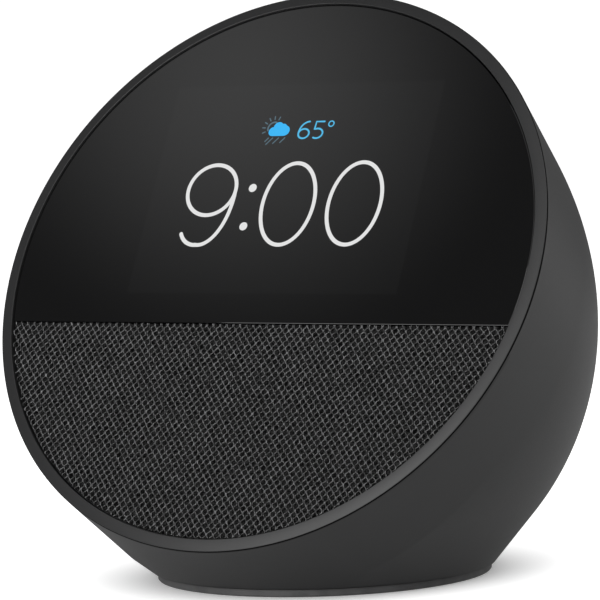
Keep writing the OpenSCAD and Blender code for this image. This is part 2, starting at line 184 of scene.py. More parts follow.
def half_disc(radius, line, upper, count=240):
    """Outline of the disc above or below a line across it."""
    start = math.asin(line / radius)
    end = math.pi - start
    if not upper:
        start, end = end, TURN + start
    angles = [start + (end - start) * k / (count - 1) for k in range(count)]
    return [(radius * math.cos(a), radius * math.sin(a)) for a in angles]


def layered(name, layers, slot, sharp=25):
    """Solid through successive outlines, each a list of (u, v) with its height w."""
    count = len(layers[0][0])
    verts = [on_face(u, v, w) for outline, w in layers for u, v in outline]
    faces = ring_faces(len(layers), count)
    faces.append(tuple(reversed(range(count))))
    faces.append(tuple(range((len(layers) - 1) * count, len(layers) * count)))
    return add_piece(name, verts, faces, slot, sharp=sharp)


def arc(centre, radii, start, end, count=48):
    """Points on an ellipse's arc; the angles are in degrees."""
    steps = np.radians(np.linspace(start, end, count))
    return [
        (centre[0] + radii[0] * math.cos(a), centre[1] + radii[1] * math.sin(a)) for a in steps
    ]


def stroke(points, width, closed=False):
    """Outline strip of a line drawn with a pen of this width: points and quads."""
    line = np.array(points, float)
    if closed:
        ahead = np.roll(line, -1, axis=0) - np.roll(line, 1, axis=0)
    else:
        ahead = np.gradient(line, axis=0)
    ahead /= np.linalg.norm(ahead, axis=1)[:, None]
    side = np.stack([-ahead[:, 1], ahead[:, 0]], axis=1) * width / 2
    count = len(line)
    verts = np.concatenate([line + side, line - side])
    last = count if closed else count - 1
    quads = [(k, (k + 1) % count, count + (k + 1) % count, count + k) for k in range(last)]
    return verts.tolist(), quads


def disc(centre, radius, count=32):
    """Filled round: points and one face."""
    last = 360 * (count - 1) / count
    return arc(centre, (radius, radius), 0, last, count), [tuple(range(count))]


def pen_line(points, width, closed=False):
    """A stroke with a round at each end."""
    marks = [stroke(points, width, closed)]
    if not closed:
        marks += [disc(points[0], width / 2), disc(points[-1], width / 2)]
    return marks


def draw(name, marks, slot, body="housing"):
    """One flat piece from several marks, each its points in the frame and its faces."""
    verts = []
    faces = []
    for points, cells in marks:
        base = len(verts)
        verts += points
        faces += [tuple(base + k for k in cell) for cell in cells]
    return add_piece(name, verts, faces, slot, body, 0)


# Finishes ---------------------------------------------------------------------------------

def new_finish(name, color, roughness, metallic=0.0, ior=1.46):
    """Principled material and its node tree."""
    material = bpy.data.materials.new(name)
    material.use_nodes = True
    shader = material.node_tree.nodes["Principled BSDF"]
    shader.inputs["Base Color"].default_value = (*color, 1)
    shader.inputs["Roughness"].default_value = roughness
    shader.inputs["Metallic"].default_value = metallic
    shader.inputs["IOR"].default_value = ior
    return material, shader


def add_node(material, kind, **values):
    """New shader node with these values on its inputs."""
    node = material.node_tree.nodes.new(kind)
    for key, value in values.items():
        node.inputs[key].default_value = value
    return node


def texture(material, kind, stretch=(1, 1, 1), **values):
    """Texture node laid over the piece's own coordinates."""
    links = material.node_tree.links
    place = add_node(material, "ShaderNodeTexCoord")
    mapping = add_node(material, "ShaderNodeMapping", Scale=stretch)
    node = add_node(material, kind, **values)
    links.new(place.outputs["Object"], mapping.inputs["Vector"])
    links.new(mapping.outputs["Vector"], node.inputs["Vector"])
    return node


def relief(material, shader, source, height):
    """Small surface relief of this height from a texture output."""
    bump = add_node(material, "ShaderNodeBump", Strength=1.0, Distance=height)
    material.node_tree.links.new(source, bump.inputs["Height"])
    material.node_tree.links.new(bump.outputs["Normal"], shader.inputs["Normal"])


def tint(material, shader, source, dark, light, low=0.3, high=0.7):
    """Base colour that wanders between two close colours."""
    ramp = add_node(material, "ShaderNodeValToRGB")
    ramp.color_ramp.elements[0].position = low
    ramp.color_ramp.elements[1].position = high
    ramp.color_ramp.elements[0].color = (*dark, 1)
    ramp.color_ramp.elements[1].color = (*light, 1)
    material.node_tree.links.new(source, ramp.inputs["Fac"])
    material.node_tree.links.new(ramp.outputs["Color"], shader.inputs["Base Color"])


def gloss_range(material, shader, source, low, high):
    """Roughness that wanders between two values."""
    span = add_node(material, "ShaderNodeMapRange")
    span.inputs["To Min"].default_value = low
    span.inputs["To Max"].default_value = high
    material.node_tree.links.new(source, span.inputs["Value"])
    material.node_tree.links.new(span.outputs["Result"], shader.inputs["Roughness"])


def shade(color, share):
    """Colour with this share of its brightness."""
    return tuple(share * c for c in color)


def moulded_plastic(name, color, roughness, grain=0.25 * MM, depth=0.004 * MM):
    """Moulded plastic with a fine spark-eroded texture and faint handling marks."""
    material, shader = new_finish(name, color, roughness)
    fine = texture(material, "ShaderNodeTexNoise", Scale=1 / grain, Detail=3.0)
    broad = texture(material, "ShaderNodeTexNoise", Scale=60.0, Detail=2.0)
    tint(material, shader, broad.outputs["Fac"], shade(color, 0.94), shade(color, 1.06))
    gloss_range(material, shader, fine.outputs["Fac"], roughness - 0.05, roughness + 0.05)
    relief(material, shader, fine.outputs["Fac"], depth)
    return material


def cover_glass():
    """Polished glass with a black back, and a trace of wiping marks."""
    material, shader = new_finish("cover_glass", (0.0016, 0.0016, 0.0018), 0.03, ior=1.5)
    wipes = texture(material, "ShaderNodeTexNoise", (1, 0.25, 0.25), Scale=90.0, Detail=5.0)
    gloss_range(material, shader, wipes.outputs["Fac"], 0.02, 0.05)
    return material


def lit_glass():
    """The same glass over the display, which lets a little of its backlight through."""
    material = cover_glass()
    material.name = "lit_glass"
    shader = material.node_tree.nodes["Principled BSDF"]
    bleed = texture(material, "ShaderNodeTexNoise", Scale=25.0)
    ramp = add_node(material, "ShaderNodeValToRGB")
    ramp.color_ramp.elements[0].color = (0.90, 0.92, 0.95, 1)
    ramp.color_ramp.elements[1].color = (1.0, 1.0, 1.0, 1)
    material.node_tree.links.new(bleed.outputs["Fac"], ramp.inputs["Fac"])
    material.node_tree.links.new(ramp.outputs["Color"], shader.inputs["Emission Color"])
    shader.inputs["Emission Strength"].default_value = 0.002
    return material


def brushed_metal(name, color, roughness, stretch):
    """Metal with fine lines along one direction."""
    material, shader = new_finish(name, color, roughness, metallic=1.0)
    lines = texture(material, "ShaderNodeTexNoise", stretch, Scale=4000.0, Detail=3.0)
    gloss_range(material, shader, lines.outputs["Fac"], roughness - 0.1, roughness + 0.12)
    relief(material, shader, lines.outputs["Fac"], 0.004 * MM)
    return material


def rubber(name, color, roughness=0.75):
    """Soft rubber with a faint bloom."""
    material, shader = new_finish(name, color, roughness)
    bloom = texture(material, "ShaderNodeTexNoise", Scale=350.0, Detail=6.0)
    tint(material, shader, bloom.outputs["Fac"], shade(color, 0.85), shade(color, 1.25))
    relief(material, shader, bloom.outputs["Fac"], 0.02 * MM)
    return material


def foam(name, color):
    """Open-cell foam."""
    material, shader = new_finish(name, color, 0.95)
    cells = texture(material, "ShaderNodeTexVoronoi", Scale=2500.0)
    tint(material, shader, cells.outputs["Distance"], shade(color, 0.4), shade(color, 1.4), 0.1)
    relief(material, shader, cells.outputs["Distance"], 0.15 * MM)
    return material


def woven(name, color, pitch):
    """Plain weave of two sets of threads."""
    material, shader = new_finish(name, color, 0.9)
    warp = texture(material, "ShaderNodeTexWave", Scale=0.3 / pitch, Distortion=0.4)
    weft = texture(material, "ShaderNodeTexWave", Scale=0.3 / pitch, Distortion=0.4)
    weft.bands_direction = "Z"
    weave = add_node(material, "ShaderNodeMath")
    weave.operation = "MULTIPLY"
    material.node_tree.links.new(warp.outputs["Fac"], weave.inputs[0])
    material.node_tree.links.new(weft.outputs["Fac"], weave.inputs[1])
    tint(material, shader, weave.outputs["Value"], shade(color, 0.5), shade(color, 1.2), 0.1)
    relief(material, shader, weave.outputs["Value"], 0.1 * MM)
    return material


def yarn():
    """Spun charcoal polyester: lighter flecks along dark strands."""
    color = (0.10, 0.10, 0.102)
    material, shader = new_finish("knit_yarn", color, 0.62)
    fleck = texture(material, "ShaderNodeTexNoise", Scale=3000.0, Detail=2.0)
    tint(material, shader, fleck.outputs["Fac"], shade(color, 0.25), shade(color, 3.2), 0.42, 0.66)
    relief(material, shader, fleck.outputs["Fac"], 0.03 * MM)
    shader.inputs["Sheen Weight"].default_value = 0.25
    return material


def scrim():
    """Backing of the knit: near black as painted shade for the knit's holes, with the duller loops of its far side
    painted dark as if in shade.
    """
    color = (0.011, 0.011, 0.011)
    material, shader = new_finish("knit_backing_painted_shade", color, 0.9)
    shader.inputs["Specular IOR Level"].default_value = 0.05
    # Mottling of painted shade: the far side's loops, darker than the strands in front
    far_loops_painted_shade = texture(material, "ShaderNodeTexNoise", Scale=3500.0, Detail=1.0)
    tint(material, shader, far_loops_painted_shade.outputs["Fac"], shade(color, 0.05), shade(color, 2.4), 0.44, 0.60)
    relief(material, shader, far_loops_painted_shade.outputs["Fac"], 0.05 * MM)
    return material


def parting_shade_finish():
    """Near-black matt finish with foam-like cells for the ring in the parting: painted shade, giving back almost
    no light.
    """
    color = (0.002, 0.002, 0.002)
    material, shader = new_finish("parting_painted_shade", color, 0.95)
    shader.inputs["Specular IOR Level"].default_value = 0.05
    cells = texture(material, "ShaderNodeTexVoronoi", Scale=4000.0)
    tint(material, shader, cells.outputs["Distance"], shade(color, 0.5), shade(color, 1.5), 0.1)
    return material


def paper_cone():
    """Pressed paper with long fibres."""
    color = (0.03, 0.03, 0.035)
    material, shader = new_finish("cone_paper", color, 0.85)
    fibre = texture(material, "ShaderNodeTexNoise", (1, 4, 1), Scale=600.0, Detail=8.0)
    tint(material, shader, fibre.outputs["Fac"], shade(color, 0.6), shade(color, 1.6))
    relief(material, shader, fibre.outputs["Fac"], 0.05 * MM)
    return material


def wound_wire():
    """Copper winding, turn beside turn along the coil."""
    color = (0.6, 0.28, 0.14)
    material, shader = new_finish("copper_wire", color, 0.3, metallic=1.0)
    turns = texture(material, "ShaderNodeTexWave", Scale=1200.0)
    turns.bands_direction = "Z"
    tint(material, shader, turns.outputs["Fac"], shade(color, 0.45), color, 0.0, 0.6)
    relief(material, shader, turns.outputs["Fac"], 0.06 * MM)
    return material


def circuit_board():
    """Green solder mask over routed copper."""
    color = (0.012, 0.10, 0.045)
    material, shader = new_finish("circuit_board", color, 0.3)
    tracks = texture(material, "ShaderNodeTexBrick", Scale=260.0)
    tracks.inputs["Color1"].default_value = (*shade(color, 0.8), 1)
    tracks.inputs["Color2"].default_value = (*shade(color, 1.0), 1)
    tracks.inputs["Mortar"].default_value = (*shade(color, 1.7), 1)
    material.node_tree.links.new(tracks.outputs["Color"], shader.inputs["Base Color"])
    relief(material, shader, tracks.outputs["Fac"], 0.03 * MM)
    return material


def flex_film():
    """Amber film with straight copper tracks showing through."""
    color = (0.55, 0.26, 0.05)
    material, shader = new_finish("flex_film", color, 0.25)
    tracks = texture(material, "ShaderNodeTexWave", Scale=500.0)
    tint(material, shader, tracks.outputs["Fac"], shade(color, 0.5), color, 0.35, 0.65)
    relief(material, shader, tracks.outputs["Fac"], 0.02 * MM)
    return material


def cast_metal(name, color, roughness, metallic=1.0):
    """Cast surface with a slightly pitted skin."""
    material, shader = new_finish(name, color, roughness, metallic=metallic)
    pits = texture(material, "ShaderNodeTexVoronoi", Scale=1600.0)
    clouds = texture(material, "ShaderNodeTexNoise", Scale=220.0, Detail=4.0)
    tint(material, shader, clouds.outputs["Fac"], shade(color, 0.85), shade(color, 1.1))
    relief(material, shader, pits.outputs["Distance"], 0.03 * MM)
    return material


def lit(name, color):
    """Part of the picture that the display shows, lit with a faint pixel pattern."""
    spread = 0.06
    material, shader = new_finish(name, (0.0, 0.0, 0.0), 0.4)
    pixels = texture(material, "ShaderNodeTexNoise", Scale=5000.0)
    ramp = add_node(material, "ShaderNodeValToRGB")
    ramp.color_ramp.elements[0].color = (*shade(color, 1 - spread), 1)
    ramp.color_ramp.elements[1].color = (*shade(color, 1 + spread), 1)
    material.node_tree.links.new(pixels.outputs["Fac"], ramp.inputs["Fac"])
    material.node_tree.links.new(ramp.outputs["Color"], shader.inputs["Emission Color"])
    shader.inputs["Emission Strength"].default_value = 1.0
    shader.inputs["Specular IOR Level"].default_value = 0.0
    return material


FINISHES = {
    "shell_plastic": moulded_plastic("shell_plastic", (0.019, 0.019, 0.0195), 0.42),
    "trim_plastic": moulded_plastic("trim_plastic", (0.021, 0.021, 0.0215), 0.40),
    "cover_glass": cover_glass(),
    "adhesive": rubber("adhesive", (0.02, 0.02, 0.02), 0.6),
    "lcd_cell": moulded_plastic("lcd_cell", (0.02, 0.022, 0.025), 0.2, 0.1 * MM, 0.001 * MM),
    "backlight": moulded_plastic("backlight", (0.75, 0.75, 0.72), 0.5),
    "steel_sheet": brushed_metal("steel_sheet", (0.6, 0.61, 0.63), 0.35, (1, 0.04, 0.04)),
    "flex_film": flex_film(),
    "inner_plastic": moulded_plastic("inner_plastic", (0.03, 0.03, 0.032), 0.5, 0.4 * MM),
    "screw_steel": brushed_metal("screw_steel", (0.65, 0.66, 0.68), 0.3, (1, 1, 0.1)),
    "knit_cloth": yarn(),
    "foam": foam("foam", (0.03, 0.03, 0.03)),
    "soft_rubber": rubber("soft_rubber", (0.02, 0.02, 0.02)),
    "cone_paper": paper_cone(),
    "copper_wire": wound_wire(),
    "spider_cloth": woven("spider_cloth", (0.55, 0.4, 0.2), 0.5 * MM),
    "magnet": cast_metal("magnet", (0.12, 0.12, 0.125), 0.55, metallic=0.3),
    "lead_jacket": rubber("lead_jacket", (0.05, 0.01, 0.01), 0.5),
    "circuit_board": circuit_board(),
    "connector_plastic": moulded_plastic("connector_plastic", (0.75, 0.72, 0.62), 0.45),
    "thermal_pad": rubber("thermal_pad", (0.25, 0.4, 0.55)),
    "cast_alloy": cast_metal("cast_alloy", (0.55, 0.55, 0.56), 0.4),
    "button_plastic": moulded_plastic("button_plastic", (0.019, 0.019, 0.0195), 0.40),
    "silicone": rubber("silicone", (0.085, 0.085, 0.086), 0.5),
    "scrim": scrim(),
    # Painted shade for the parting between rim and body
    "parting_painted_shade": parting_shade_finish(),
    "symbol_paint": moulded_plastic("symbol_paint", (0.16, 0.16, 0.163), 0.5),
    "white_pixels": lit("white_pixels", (0.78, 0.78, 0.78)),
    "blue_pixels": lit("blue_pixels", (0.055, 0.48, 0.93)),
    "pale_blue_pixels": lit("pale_blue_pixels", (0.10, 0.50, 0.80)),
    "grey_pixels": lit("grey_pixels", (0.11, 0.17, 0.21)),
    "lit_glass": lit_glass(),
}


def dress_cad_nodes():
    """Puts on each CAD node the finish of its slot."""
    for part in frame["record"]["subparts"]:
        node = frame["nodes"][part["node"]]
        node.data.materials.clear()
        node.data.materials.append(FINISHES[part["material_slot"]])


# Body shell -------------------------------------------------------------------------------

def body_hull(inset):
    """Convex form of the body, moved inwards by inset, as a tree to cast rays at."""
    lean = math.asin(W.z)
    reach = math.hypot(DOME_LENGTH * math.cos(lean), DOME_UP * math.sin(lean))
    dome_centre = Vector((0, BODY_BACK - reach, FACE_CENTRE.z - DOME_DROP))
    points = []
    edge_points = 512
    for k in range(edge_points):
        a = TURN * k / edge_points
        rim = RIM_RADIUS - inset
        points.append(on_face(rim * math.cos(a), rim * math.sin(a), -PARTING))
        foot = SHELL_FOOT_RADIUS - inset
        points.append(Vector((foot * math.cos(a), FOOT_Y + foot * math.sin(a), SHELL_BOTTOM)))
    parallels = 180
    meridians = 360
    for i in range(1, parallels):
        polar = math.pi * i / parallels
        for k in range(meridians):
            a = TURN * k / meridians
            point = (
                dome_centre
                + U * (DOME_SIDE - inset) * math.sin(polar) * math.cos(a)
                + V * (DOME_UP - inset) * math.sin(polar) * math.sin(a)
                + W * (DOME_LENGTH - inset) * math.cos(polar)
            )
            behind = (point - FACE_CENTRE).dot(W) < -DOME_FRONT
            if behind and point.z > DOME_FOOT + inset:
                points.append(point)
    work = bmesh.new()
    for point in points:
        work.verts.new(point)
    bmesh.ops.convex_hull(work, input=work.verts)
    tree = BVHTree.FromBMesh(work)
    work.free()
    return tree


SHELL_AROUND = 256
SHELL_DOWN = 120


def edge_ring(a, radius):
    """Three points that round the shell's front edge at this angle."""
    ease = 0.08 * MM
    corner = ((ease, 0.0), (0.3 * ease, 0.3 * ease), (0.0, ease))
    return [
        on_face((radius - x) * math.cos(a), (radius - x) * math.sin(a), -PARTING - y)
        for x, y in corner
    ]


def shell_grid(inset):
    """Rings of points over the body from the rim down to the foot, and its outer surface."""
    tree = body_hull(inset)
    behind = 10 * MM
    below = 5 * MM
    inside = FACE_CENTRE + BACKWARD * behind - UPWARD * below
    rim = RIM_RADIUS - inset
    foot = SHELL_FOOT_RADIUS - inset
    columns = []
    for k in range(SHELL_AROUND):
        a = TURN * k / SHELL_AROUND
        top = on_face(rim * math.cos(a), rim * math.sin(a), -PARTING)
        bottom = Vector((foot * math.cos(a), FOOT_Y + foot * math.sin(a), SHELL_BOTTOM))
        start = (top - inside).normalized()
        end = (bottom - inside).normalized()
        column = edge_ring(a, rim)
        for i in range(len(column), SHELL_DOWN - 1):
            ray = start.slerp(end, i / (SHELL_DOWN - 1))
            hit = tree.ray_cast(inside, ray)[0]
            column.append(hit)
        column.append(bottom)
        columns.append(column)
    return [list(ring) for ring in zip(*columns)], tree


def cutter(centre, axis, radius, start, end, segments=96):
    """Round tool that cuts a hole, from start to end along the axis, counted from the centre."""
    side = axis.orthogonal().normalized()
    other = axis.cross(side)
    verts = []
    for height in (start, end):
        for k in range(segments):
            a = TURN * k / segments
            ray = side * math.cos(a) + other * math.sin(a)
            verts.append(centre + ray * radius + axis * height)
    faces = ring_faces(2, segments)
    faces += [tuple(reversed(range(segments))), tuple(range(segments, 2 * segments))]
    return mesh_object("cutter", verts, faces)


def cut_holes(piece, tools):
    """Takes the tools' volumes out of a piece and removes the tools."""
    for tool in tools:
        cut = piece.modifiers.new("cut", "BOOLEAN")
        cut.operation = "DIFFERENCE"
        cut.solver = "EXACT"
        cut.object = tool
    depsgraph = bpy.context.evaluated_depsgraph_get()
    cut_mesh = bpy.data.meshes.new_from_object(piece.evaluated_get(depsgraph))
    piece.modifiers.clear()
    piece.data = cut_mesh
    for tool in tools:
        bpy.data.objects.remove(tool)


KEY_NODES = {
    "volume_down_button": "button_volume_down",
    "microphone_button": "button_microphone",
    "volume_up_button": "button_volume_up",
}
KEY_RADIUS = 4.8 * MM
KEY_GAP = 0.3 * MM
KEY_PROUD = 0.12 * MM
MIC_HOLE_RADIUS = 0.6 * MM
POCKET_OUTER = 7.5 * MM


def key_centre(node):
    """Point on a key's axis at the height of its top."""
    return (
        U * middle(node, U)
        + KEY_SIDE * middle(node, KEY_SIDE)
        + KEY_NORMAL * extent(node, KEY_NORMAL)[1]
    )


def build_shell():
    """Body shell with its openings, and the tree of its outer surface."""
    clear = 6 * MM
    key_depth = 9 * MM
    port_depth = 6 * MM
    pocket_depth = 5 * MM
    behind_pocket = 30 * MM
    outer, tree = shell_grid(0)
    inner, _ = shell_grid(WALL)
    rings = outer + inner[::-1]
    faces = ring_faces(len(rings), SHELL_AROUND, True)
    shell = add_piece("moulded_shell", sum(rings, []), faces, "shell_plastic", sharp=30)
    tools = []
    for node in KEY_NODES.values():
        centre = key_centre(node)
        tools.append(cutter(centre, KEY_NORMAL, KEY_RADIUS + KEY_GAP, -key_depth, clear))
    left, mid, right = (key_centre(node) for node in KEY_NODES.values())
    for side in (left, right):
        hole = mid + U * (side - mid).dot(U) / 2
        tools.append(cutter(hole, KEY_NORMAL, MIC_HOLE_RADIUS, -port_depth, clear, 32))
    inlet = Vector((0, POCKET_FLOOR_Y, INLET_Z))
    tools.append(cutter(inlet, BACKWARD, POCKET_OUTER, -pocket_depth, behind_pocket))
    cut_holes(shell, tools)
    finish_piece(shell, "shell_plastic", "housing", 30)
    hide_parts("body_shell")
    return tree


def build_rim():
    """Trim ring whose front slopes back evenly towards the body, with a thin collar inside."""
    inner = RIM_RADIUS - 2.33 * MM
    collar = inner + 0.28 * MM
    depth = 1.1 * MM
    under = -0.02 * MM
    high = 0.40 * MM
    low = 0.10 * MM
    ease = 0.10 * MM
    # The rim stops short of the body's edge so that the ring of painted shade shows beside it
    outer = RIM_RADIUS - PARTING_SHADE_STEP
    profile = [
        (inner, -depth),
        (inner, high - ease),
        (inner + 0.3 * ease, high - 0.3 * ease),
        (inner + ease, high),
        (outer - ease, low),
        (outer - 0.3 * ease, low - 0.4 * ease),
        (outer, low - ease),
        (outer, under),
        (collar, under),
        (collar, -depth),
    ]
    rim = lathe("rim", profile, "trim_plastic", FACE_CENTRE, U, V, W, 480)
    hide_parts("trim_ring")


def build_parting_shade():
    """Near-black ring that fills the parting between the rim and the body: painted shade for the dark line of the
    groove.
    """
    outer = RIM_RADIUS - 0.03 * MM
    inner = RIM_RADIUS - WALL
    front = -0.02 * MM
    back = -PARTING - 0.02 * MM
    profile = [
        (inner, front),
        (RIM_RADIUS - PARTING_SHADE_STEP, front),
        (outer, -PARTING / 2),
        (outer, back),
        (inner, back),
    ]
    lathe("parting_shade_ring", profile, "parting_painted_shade", FACE_CENTRE, U, V, W, 480)


# Face -------------------------------------------------------------------------------------

def build_glass():
    """Cover glass with a fine ground edge."""
    bevel = 0.12 * MM
    steps = ((0.0, -GLASS_THICK), (0.0, -bevel), (0.3 * bevel, -0.3 * bevel), (bevel, 0.0))
    layers = []
    for inset, w in steps:
        layers.append((half_disc(PANEL_RADIUS - inset, SPLIT_V + inset, True), w))
    glass = layered("glass", layers, "cover_glass", sharp=15)
    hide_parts("front_glass")


def show(name, marks, slot):
    """Part of the picture, from marks given in mm, a hair in front of the glass."""
    lift = 0.015 * MM
    placed = [([on_face(x * MM, y * MM, lift) for x, y in points], cells) for points, cells in marks]
    draw(name, placed, slot)


def build_clock():
    """Time, in thin round figures: 9, a colon and two zeros."""
    pen = 0.78
    height = 17.5
    middle_v = 12.45
    zero_radii = (5.48, (height - pen) / 2)
    zero_places = (1.55, 15.65)
    nine_bowl = (-15.7, 15.45)
    bowl_radii = (5.2, 5.2)
    colon_u = -6.9
    colon_heights = (7.9, 15.8)
    dot_radius = 0.84
    marks = []
    for zero_u in zero_places:
        marks += pen_line(arc((zero_u, middle_v), zero_radii, 0, 357.5, 144), pen, True)
    marks += pen_line(arc(nine_bowl, bowl_radii, 0, 357.5, 144), pen, True)
    tail = arc((-16.0, 14.2), (5.5, 10.1), 5, -98, 60)
    hook = arc((-16.6, 8.2), (3.9, 4.1), 278, 206, 24)
    marks += pen_line(tail + hook[1:], pen)
    for dot_v in colon_heights:
        marks.append(disc((colon_u, dot_v), dot_radius))
    show("clock_figures", marks, "white_pixels")


def build_weather():
    """Small cloud with sun and rain."""
    low = 26.56
    left = -5.5
    right = -3.0
    cloud = [disc((left, 27.5), 0.94), disc((right, 27.65), 1.06), disc((-4.5, 28.4), 1.06)]
    cloud.append(disc((-3.5, 28.2), 0.9))
    filling = [(left, low), (right, low), (right, 28.0), (left, 28.0)]
    cloud.append((filling, [(0, 1, 2, 3)]))
    show("cloud", cloud, "blue_pixels")

    sun = (-5.5, 28.2)
    sun_pen = 0.34
    ray_pen = 0.24
    marks = pen_line(arc(sun, (1.25, 1.25), 75, 200, 24), sun_pen)
    for k in range(6):
        a = math.radians(69 + 27 * k)
        ray = [(sun[0] + r * math.cos(a), sun[1] + r * math.sin(a)) for r in (1.85, 2.45)]
        marks += pen_line(ray, ray_pen)
    rain_top = 26.15
    drops = ((-6.15, 0.9), (-5.25, 1.75), (-3.95, 1.5), (-2.6, 1.3))
    for x, length in drops:
        drop = [(x, rain_top), (x - 0.66 * length, rain_top - 0.75 * length)]
        marks += pen_line(drop, ray_pen)
    show("sun_and_rain", marks, "grey_pixels")


def build_temperature():
    """Temperature beside the cloud: 6, 5 and a degree ring."""
    pen = 0.36
    six_bowl = arc((1.25, 26.95), (1.13, 0.98), 0, 350, 36)
    six_back = arc((2.1, 27.1), (2.0, 2.35), 182, 92, 24)
    five_top = [(5.2, 29.4), (3.5, 29.4), (3.4, 27.75)]
    five_bowl = arc((4.1, 26.95), (1.2, 1.0), 110, -120, 30)
    degree = arc((6.75, 28.9), (0.55, 0.55), 0, 350, 36)
    degree_pen = 0.26
    marks = pen_line(six_bowl, pen, True)
    marks += pen_line(six_back, pen)
    marks += pen_line(five_top + five_bowl, pen)
    marks += pen_line(degree, degree_pen, True)
    show("temperature", marks, "pale_blue_pixels")


def build_active_area():
    """Lit part of the display, a shade lighter than the black round it."""
    width = 57.6 * MM
    height = width * 3 / 4
    border = 2.6 * MM
    top = extent("lcd_panel", V)[1] - FACE_CENTRE.dot(V) - border
    lift = 0.005 * MM
    corners = [
        on_face(-width / 2, top - height, lift),
        on_face(width / 2, top - height, lift),
        on_face(width / 2, top, lift),
        on_face(-width / 2, top, lift),
    ]
    add_piece("screen_area", corners, [(0, 1, 2, 3)], "lit_glass", sharp=0)


# Cloth ------------------------------------------------------------------------------------

YARN_SPACING = 0.71 * MM
YARN_PERIOD = 1.74 * MM
YARN_SWING = 0.27 * MM
YARN_RADIUS = 0.085 * MM
YARN_DEPTH = 0.17 * MM
YARN_SIDES = 6
YARN_STEPS = 12
CLOTH_INSET = 0.1 * MM


def smooth_noise(rng, count, reach):
    """Random run of numbers about zero that changes over this many steps."""
    return np.convolve(rng.normal(0, 1, count + reach - 1), np.ones(reach) / reach ** 0.5, "valid")


def yarn_tube(u, start, end, odd, rng):
    """Points and faces of one wavy yarn along v; neighbours touch at every half period."""
    v = np.arange(start, end, YARN_PERIOD / YARN_STEPS)
    count = len(v)
    drift = 0.16 * smooth_noise(rng, count, 15)
    sway = 1 + 0.10 * smooth_noise(rng, count, 7)
    bounce = 0.015 * MM * smooth_noise(rng, count, 5)
    girth = 1 + 0.14 * smooth_noise(rng, count, 3)
    phase = TURN * v / YARN_PERIOD + math.pi * odd + drift
    wave = np.cos(phase) - 0.12 * np.cos(3 * phase)
    across = u + YARN_SWING * wave * sway
    lift = 0.05 * MM * np.sin(2 * phase) + bounce - YARN_DEPTH
    radius = YARN_RADIUS * girth
    verts = []
    for k in range(YARN_SIDES):
        a = TURN * k / YARN_SIDES
        side_u = across + radius * math.cos(a)
        side_w = lift + radius * math.sin(a)
        verts.append(np.outer(side_u, U) + np.outer(v, V) + np.outer(side_w, W))
    verts = np.stack(verts, axis=1).reshape(-1, 3) + np.array(FACE_CENTRE)
    return verts, ring_faces(count, YARN_SIDES)


def build_cloth():
    """Backing sheet stretched over the grille, near black as painted shade in the knit's holes, with the knit's
    strands on it.
    """
    radius = PANEL_RADIUS - 0.05 * MM
    line = SPLIT_V - CLOTH_INSET
    back = -0.55 * MM
    front = -0.42 * MM
    edge_gap = 0.15 * MM
    outline = half_disc(radius, line, False)
    sheet = layered("grille_backing", [(outline, back), (outline, front)], "scrim")
    rng = np.random.default_rng(7)
    parts = []
    faces = []
    base = 0
    reach = int(radius / YARN_SPACING)
    for j in range(-reach, reach + 1):
        u = j * YARN_SPACING
        lowest = -math.sqrt(radius ** 2 - u ** 2) + edge_gap
        if lowest > line - YARN_PERIOD:
            continue
        verts, cells = yarn_tube(u, lowest, line, j % 2, rng)
        parts.append(verts)
        faces += [tuple(base + k for k in cell) for cell in cells]
        base += len(verts)
    strands = add_piece("knit_strands", np.concatenate(parts), faces, "knit_cloth", sharp=0)
    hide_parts("grille_cloth")


# Buttons ----------------------------------------------------------------------------------

def key_place(tree, centre, x, y, lift):
    """Point over a key's middle, this far off the dome's surface along the key's axis."""
    above = 10 * MM
    start = centre + U * x + KEY_SIDE * y + KEY_NORMAL * above
    hit = tree.ray_cast(start, -KEY_NORMAL)[0]
    return hit + KEY_NORMAL * (KEY_PROUD + lift)


def key_rings():
    """Rings of a key from its middle to its skirt, each a radius and its height."""
    edge = 0.35 * MM
    skirt = 2.2 * MM
    flat = KEY_RADIUS - edge
    flat_steps = 10
    round_steps = 6
    rings = [(0.02 * MM, 0.0)]
    rings += [(flat * k / flat_steps, 0.0) for k in range(1, flat_steps + 1)]
    for k in range(1, round_steps + 1):
        a = math.radians(90 * k / round_steps)
        rings.append((flat + edge * math.sin(a), edge * (math.cos(a) - 1)))
    rings.append((KEY_RADIUS, -skirt))
    return rings


def build_keys(tree):
    """Round keys whose tops follow the dome, each with its generic symbol."""
    count = 96
    paint = 0.01 * MM
    rings = key_rings()
    for body, node in KEY_NODES.items():
        centre = key_centre(node)
        verts = []
        for radius, height in rings:
            for k in range(count):
                a = TURN * k / count
                x = radius * math.cos(a)
                y = radius * math.sin(a)
                verts.append(key_place(tree, centre, x, y, height))
        faces = ring_faces(len(rings), count)
        faces.append(tuple(range(count)))
        faces.append(tuple(range((len(rings) - 1) * count, len(rings) * count)))
        cap = add_piece(body + "_cap", verts, faces, "button_plastic", body)
        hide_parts(node)
        symbol = [
            ([key_place(tree, centre, x * MM, y * MM, paint) for x, y in points], cells)
            for points, cells in key_symbol(body)
        ]
        draw(body + "_symbol", symbol, "symbol_paint", body)


def bar(a, b, width, count=12):
    """Pen line between two points, split finely enough to follow the dome."""
    points = [
        (a[0] + (b[0] - a[0]) * k / count, a[1] + (b[1] - a[1]) * k / count)
        for k in range(count + 1)
    ]
    return pen_line(points, width)


